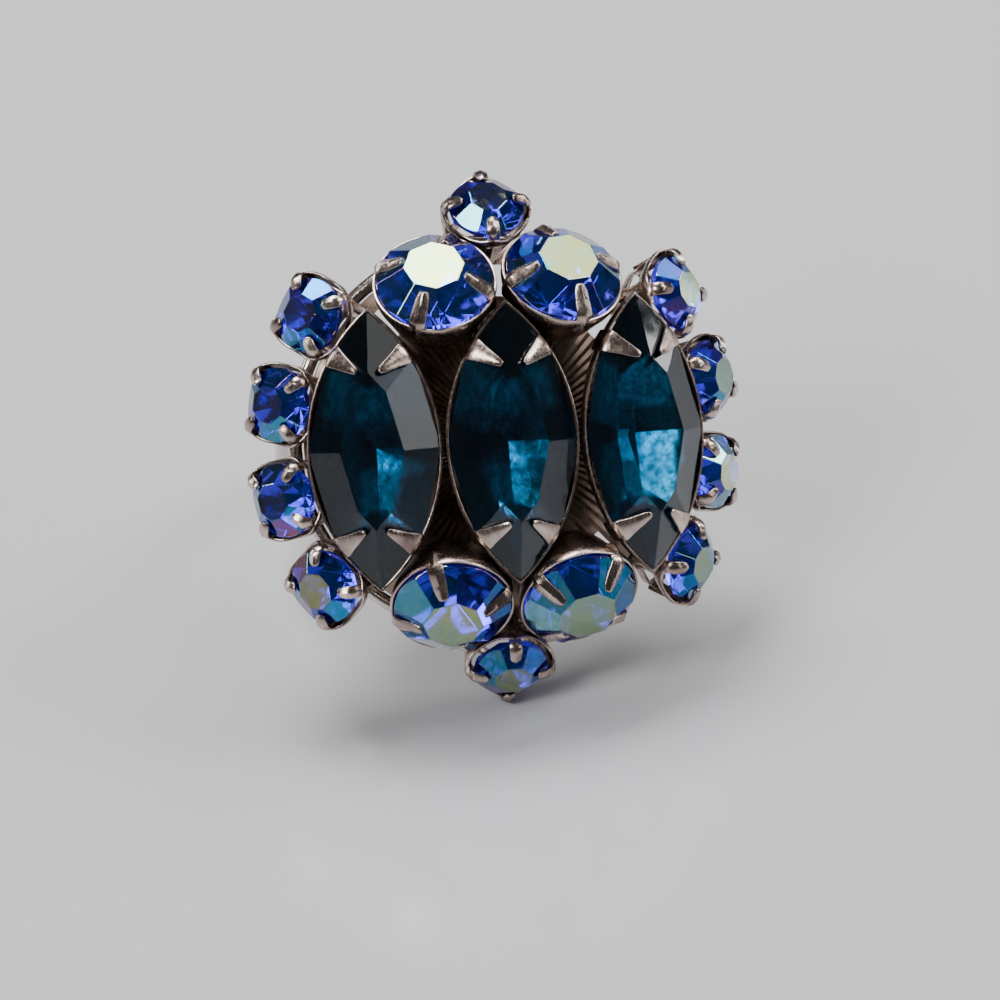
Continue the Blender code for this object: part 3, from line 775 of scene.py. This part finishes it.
def boat_cup(seat):
    half_length = seat["half_length"]
    half_width = seat["half_width"]
    levels = ((-1.3, -2.8), (-0.8, -1.9), (-0.25, -0.9), (-0.06, -0.55),
              (STONE_GAP, -0.3), (STONE_GAP, RIM_HEIGHT))
    bm = bmesh.new()
    boat_loop(bm, half_length, half_width, BOAT_STEPS)
    raise_wall(bm, half_width, half_length, levels)
    thicken(bm, bm.faces[:], SHEET)
    radius = (half_length ** 2 + half_width ** 2) / (2 * half_width)
    lift = math.asin((half_length - CLAW_FROM_TIP) / radius)
    stations = ((-0.2, -0.9, 0.62), (-0.2, -0.2, 0.64), (-0.14, 0.26, 0.64), (0.1, 0.5, 0.6),
                (0.5, 0.78, 0.46), (1.0, 1.12, 0.34), (1.45, 1.38, 0.22), (1.62, 1.42, 0.15))
    for side in (-1, 1):
        for end in (-1, 1):
            inward = Vector((-side * math.cos(lift), -end * math.sin(lift), 0.0))
            foot = Vector((side * (half_width - radius), 0.0, 0.0)) - inward * radius
            add_claw(bm, foot, inward, stations, BOAT_CLAW_SHEET, BOAT_CLAW_FOLD)
    return bm


for name in SIDES:
    finish_piece("claw_cup_" + name, boat_cup(navette_seats[name]), navette_seats[name]["place"],
                 (setting_metal,), "navette_setting_" + name, 40.0)


# %% [markdown]
# ## The frame of the head
#
# The plate, its wire, the collar and the band were laid out about the finger bore.  The
# middle stone faces straight out of the head, so its seat gives the directions: X
# across, Y along the finger and Z out of the head.  The bore's centre is the middle of
# the band.

# %% Find the ring's own frame
def ring_points(name, frame_of_ring):
    """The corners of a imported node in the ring's own frame, in millimetres."""
    bm = merged_copy(name)
    inverse = frame_of_ring.inverted()
    points = [inverse @ (vert.co / MM) for vert in bm.verts]
    bm.free()
    return points


ring_place = navette_seats["middle"]["place"].copy()
ring_place.translation = Vector((0.0, 0.0, 0.0))
band_points = ring_points("shank", ring_place)
bore_centre = sum(band_points, Vector()) / len(band_points)
ring_place = ring_place @ Matrix.Translation(bore_centre)
band_points = [point - bore_centre for point in band_points]
band_inner = min(point.xz.length for point in band_points)
band_outer = max(point.xz.length for point in band_points)
band_half = max(abs(point.y) for point in band_points)
print("bore", round(2 * band_inner, 2), "mm, band", round(2 * band_half, 2), "mm wide")


# %% [markdown]
# ## The band
#
# A plain band: a rectangle spun about the finger, then bevelled, broadly on its outer
# edges and a little inside, where a finger would feel a sharp corner.

# %% Spin the band
BAND_STEPS = 144
OUTER_EASE = 0.38
INNER_EASE = 0.15


def loop_edges_at(bm, radius):
    """The edges that run round the band at one radius."""
    found = []
    for edge in bm.edges:
        same_side = abs(edge.verts[0].co.y - edge.verts[1].co.y) < 1e-4
        at_radius = all(abs(vert.co.xz.length - radius) < 0.02 for vert in edge.verts)
        if same_side and at_radius:
            found.append(edge)
    return found


def band():
    bm = bmesh.new()
    bmesh.ops.create_grid(bm, x_segments=1, y_segments=1, size=0.5)
    bmesh.ops.scale(bm, vec=(band_outer - band_inner, 2 * band_half, 1.0), verts=bm.verts[:])
    bmesh.ops.translate(bm, vec=((band_outer + band_inner) / 2, 0.0, 0.0), verts=bm.verts[:])
    bmesh.ops.delete(bm, geom=bm.faces[:], context="FACES_ONLY")
    bmesh.ops.spin(bm, geom=bm.verts[:] + bm.edges[:], cent=(0.0, 0.0, 0.0), axis=(0.0, 1.0, 0.0),
                   angle=math.tau, steps=BAND_STEPS, use_merge=True)
    bmesh.ops.recalc_face_normals(bm, faces=bm.faces[:])
    ease(bm, loop_edges_at(bm, band_outer), OUTER_EASE, 5)
    ease(bm, loop_edges_at(bm, band_inner), INNER_EASE, 3)
    return bm


finish_piece("band", band(), ring_place, (band_metal,), "shank", 40.0)


# %% [markdown]
# ## The plate, its wire and the collar
#
# The plate is stamped thin and domed, with fine ribs that fan out from its middle and a
# ring of small windows near its edge.  Its dome is a quadratic surface, so three of the
# packed plate's corners are enough to find it.  The ribs are real geometry: every second
# vertex of each ring is raised.

# %% Stamp the plate
PLATE_STEPS = 192
PLATE_ROWS = 5
RIB_HEIGHT = 0.11
WINDOW_STEPS = 24
SPOKE_STEPS = 8
PLATE_SHEET = 0.45
PLATE_BORDER = 0.25
PLAIN_MIDDLE = 0.2

plate_points = ring_points("base_plate", ring_place)
plate_edge = max(point.xy.length for point in plate_points)


def top_near(x, y):
    """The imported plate's top corner nearest to a place in plan."""
    near = sorted(plate_points, key=lambda point: (point.xy - Vector((x, y))).length)[:4]
    return max(near, key=lambda point: point.z)


dome_points = [top_near(plate_edge, 0.0), top_near(0.0, plate_edge), top_near(0.2 * plate_edge, 0.0)]
squares = Matrix([(1.0, -point.x ** 2, -point.y ** 2) for point in dome_points])
dome_top, fall_across, fall_along = squares.inverted() @ Vector([point.z for point in dome_points])
print("plate: top", round(dome_top, 2), "mm, falls", round(fall_across, 4), "and", round(fall_along, 4))


def dome_height(x, y):
    return dome_top - fall_across * x * x - fall_along * y * y


on_top = [point for point in plate_points if abs(point.z - dome_height(point.x, point.y)) < 0.02]
plate_radii = sorted({round(point.xy.length, 1) for point in on_top})
plate_hole = plate_radii[0]
print("plate's rings in mm:", plate_radii)


def plate():
    window_out = plate_radii[-2]
    window_in = plate_radii[-3]
    radii = [plate_edge, plate_edge - PLATE_BORDER]
    radii += [window_out - (window_out - window_in) * row / PLATE_ROWS for row in range(PLATE_ROWS + 1)]
    rows_left = 2 * PLATE_ROWS
    radii += [window_in - (window_in - plate_hole) * (row + 1) / rows_left for row in range(rows_left)]
    bm = bmesh.new()
    bmesh.ops.create_circle(bm, segments=PLATE_STEPS, radius=plate_edge)
    step = bm.verts.layers.int.new("step")
    edges = bm.edges[:]
    for index, vert in enumerate(bm.verts):
        vert[step] = index
    for before, after in zip(radii, radii[1:]):
        verts, edges = extrude_rim(bm, edges)
        bmesh.ops.scale(bm, vec=(after / before, after / before, 1.0), verts=verts)
    pierced = []
    for face in bm.faces:
        middle = face.calc_center_median()
        steps = {vert[step] for vert in face.verts}
        on_spoke = min(steps) % WINDOW_STEPS < SPOKE_STEPS
        if window_in < middle.xy.length < window_out and not on_spoke:
            pierced.append(face)
    bmesh.ops.delete(bm, geom=pierced, context="FACES")
    for vert in bm.verts:
        ribbed = vert[step] % 2 == 0 and plate_hole + PLAIN_MIDDLE < vert.co.xy.length < window_out
        vert.co.z = dome_height(vert.co.x, vert.co.y) - (0.0 if ribbed else RIB_HEIGHT)
    under = bmesh.ops.extrude_face_region(bm, geom=bm.faces[:], use_keep_orig=True)["geom"]
    lowered = [item for item in under if isinstance(item, bmesh.types.BMVert)]
    bmesh.ops.translate(bm, vec=(0.0, 0.0, RIB_HEIGHT - PLATE_SHEET), verts=lowered)
    bmesh.ops.recalc_face_normals(bm, faces=bm.faces[:])
    return bm


# A darker, duller plating for the plate, with the same brown-black painted shade in its recesses.
plate_metal = plated_metal("darker plate metal with painted shade", ("A8978A", "75604F", "160B05"), 0.32, 0.45)
finish_piece("ribbed_plate", plate(), ring_place, (plate_metal,), "base_plate", 30.0)


# %% [markdown]
# The wire is round and follows the plate's edge up and down over the dome.  Its
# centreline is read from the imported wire: each station's corners average to one point.
# Circles set along it are bridged into a tube.

# %% Bend the edge wire
WIRE_STATIONS = 48
WIRE_SIDES = 12


def station_of(point):
    return round(math.atan2(point.y, point.x) / math.tau * WIRE_STATIONS) % WIRE_STATIONS


def tube(centres, radius, sides):
    """A round closed tube through a loop of points."""
    bm = bmesh.new()
    rings = []
    for index, centre in enumerate(centres):
        run = (centres[(index + 1) % len(centres)] - centres[index - 1]).normalized()
        place = Matrix.Translation(centre) @ run.to_track_quat("Z", "Y").to_matrix().to_4x4()
        made = bmesh.ops.create_circle(bm, segments=sides, radius=radius, matrix=place)["verts"]
        rings.append(list({edge for vert in made for edge in vert.link_edges}))
    for index, ring in enumerate(rings):
        bmesh.ops.bridge_loops(bm, edges=ring + rings[(index + 1) % len(rings)])
    bmesh.ops.recalc_face_normals(bm, faces=bm.faces[:])
    return bm


wire_points = ring_points("edge_wire", ring_place)
wire_stations = [[point for point in wire_points if station_of(point) == at] for at in range(WIRE_STATIONS)]
wire_centres = [sum(group, Vector()) / len(group) for group in wire_stations]
wire_radius = (wire_points[0] - wire_centres[station_of(wire_points[0])]).length
closed_way = wire_centres[-1:] + wire_centres + wire_centres[:2]
wire_way = smooth_way(closed_way, 2 * (len(closed_way) - 1) + 1)[2:2 + 2 * WIRE_STATIONS]
finish_piece("edge_wire_round", tube(wire_way, wire_radius, WIRE_SIDES), ring_place, (band_metal,),
             "edge_wire", 60.0)
print("wire", round(2 * wire_radius, 2), "mm thick")


# %% [markdown]
# The collar is a short flared tube.  Its foot follows the round of the band, so each
# foot vertex is dropped onto the band's cylinder.

# %% Flare the collar
COLLAR_STEPS = 96
COLLAR_WALL = 0.6
COLLAR_CLEARANCE = 0.06


def collar():
    points = ring_points("riser", ring_place)
    top = max(point.z for point in points)
    top_radius = max(point.xy.length for point in points if point.z > top - 0.1)
    foot_radius = min(point.xy.length for point in points) + COLLAR_WALL
    bm = bmesh.new()
    bmesh.ops.create_circle(bm, segments=COLLAR_STEPS, radius=foot_radius - COLLAR_WALL)
    for vert in bm.verts:
        vert.co.z = math.sqrt(band_outer ** 2 - vert.co.x ** 2) + COLLAR_CLEARANCE
    verts, _ = extrude_rim(bm, bm.edges[:])
    flare = (top_radius - COLLAR_WALL) / (foot_radius - COLLAR_WALL)
    bmesh.ops.scale(bm, vec=(flare, flare, 1.0), verts=verts)
    for vert in verts:
        vert.co.z = top
    thicken(bm, bm.faces[:], COLLAR_WALL)
    return bm


finish_piece("collar", collar(), ring_place, (band_metal,), "riser", 40.0)


# %% [markdown]
# ## Floor, light and camera
#
# The floor is plain and pale, and polished enough to give a faint reflection.  Cut
# glass is only as lively as what it reflects, so the room is dim and a few softboxes
# stand in it.  The overhead one lies where the upper tables look, and the others are
# small, so that each facet is either bright or dark.  Two dim cards in front give the
# left boat-shaped stone its grey facets.  The camera stands well back with a long lens,
# looks down on the head, and is turned and tipped a little.

# %% Lay the floor
FLOOR_REACH = 1.5

floor_bm = bmesh.new()
bmesh.ops.create_grid(floor_bm, x_segments=1, y_segments=1, size=FLOOR_REACH)
floor_mesh = bpy.data.meshes.new("floor")
floor_bm.to_mesh(floor_mesh)
floor_bm.free()
floor = bpy.data.objects.new("floor", floor_mesh)
bpy.context.scene.collection.objects.link(floor)
floor_material, floor_shader = new_material("pale floor")
floor_shader.inputs["Base Color"].default_value = colour("BDBDC0")
floor_shader.inputs["Roughness"].default_value = 0.16
floor_mesh.materials.append(floor_material)

# %% Set up the camera
VIEW_AZIMUTH = -8.31
VIEW_ELEVATION = 36.58
VIEW_ROLL = 4.72
VIEW_DISTANCE = 0.4028
VIEW_LENS = 265.4
AIM_OFFSET = Vector((-0.63, -8.90, -1.07)) * MM


def direction(azimuth, elevation):
    """From the ring towards a place given by its azimuth, 0 in front, and its elevation."""
    a = math.radians(azimuth)
    e = math.radians(elevation)
    return Vector((math.sin(a) * math.cos(e), -math.cos(a) * math.cos(e), math.sin(e)))


camera_data = bpy.data.cameras.new("camera")
camera_data.lens = VIEW_LENS
camera_data.sensor_width = 36.0
camera_data.clip_start = 0.01
camera = bpy.data.objects.new("camera", camera_data)
bpy.context.scene.collection.objects.link(camera)
back = direction(VIEW_AZIMUTH, VIEW_ELEVATION)
camera.location = box_centre + AIM_OFFSET + back * VIEW_DISTANCE
camera.rotation_mode = "QUATERNION"
roll = Quaternion((0.0, 0.0, 1.0), -math.radians(VIEW_ROLL))
camera.rotation_quaternion = back.to_track_quat("Z", "Y") @ roll
bpy.context.scene.camera = camera

# %% Place the softboxes
LIGHT_DISTANCE = 0.6


def softbox(name, towards, size, radiance):
    """A light facing the ring from a direction; its size and brightness give its power in watts."""
    data = bpy.data.lights.new(name, "AREA")
    data.shape = "RECTANGLE"
    data.size, data.size_y = size
    data.energy = radiance * math.pi * size[0] * size[1]
    light = bpy.data.objects.new(name, data)
    bpy.context.scene.collection.objects.link(light)
    away = Vector(towards).normalized()
    light.location = box_centre + away * LIGHT_DISTANCE
    light.rotation_mode = "QUATERNION"
    light.rotation_quaternion = away.to_track_quat("Z", "Y")


# Each one's direction from the ring, size in metres, and brightness.
SOFTBOXES = (
    ("overhead softbox", (-0.12, 0.40, 0.91), (0.30, 0.26), 19.0),
    ("overhead right card", (0.46, 0.38, 0.80), (0.20, 0.22), 4.5),
    ("high left softbox", (-0.60, -0.38, 0.70), (0.22, 0.2), 15.0),
    ("high right softbox", (0.71, -0.03, 0.70), (0.15, 0.22), 14.0),
    ("left strip", (-0.82, 0.46, 0.33), (0.07, 0.34), 9.0),
    ("right strip", (0.93, 0.22, 0.30), (0.07, 0.34), 9.0),
    ("front card", (0.78, -0.49, 0.39), (0.2, 0.16), 2.6),
    ("front high card", (0.54, -0.33, 0.77), (0.12, 0.12), 1.5),
)
for name, towards, size, radiance in SOFTBOXES:
    softbox(name, towards, size, radiance)
ROOM_LIGHT = 0.07
world = bpy.data.worlds.new("studio")
world.use_nodes = True
world.node_tree.nodes["Background"].inputs["Color"].default_value = colour("FFFFFF")
world.node_tree.nodes["Background"].inputs["Strength"].default_value = ROOM_LIGHT
bpy.context.scene.world = world
print("softboxes:", len(SOFTBOXES))
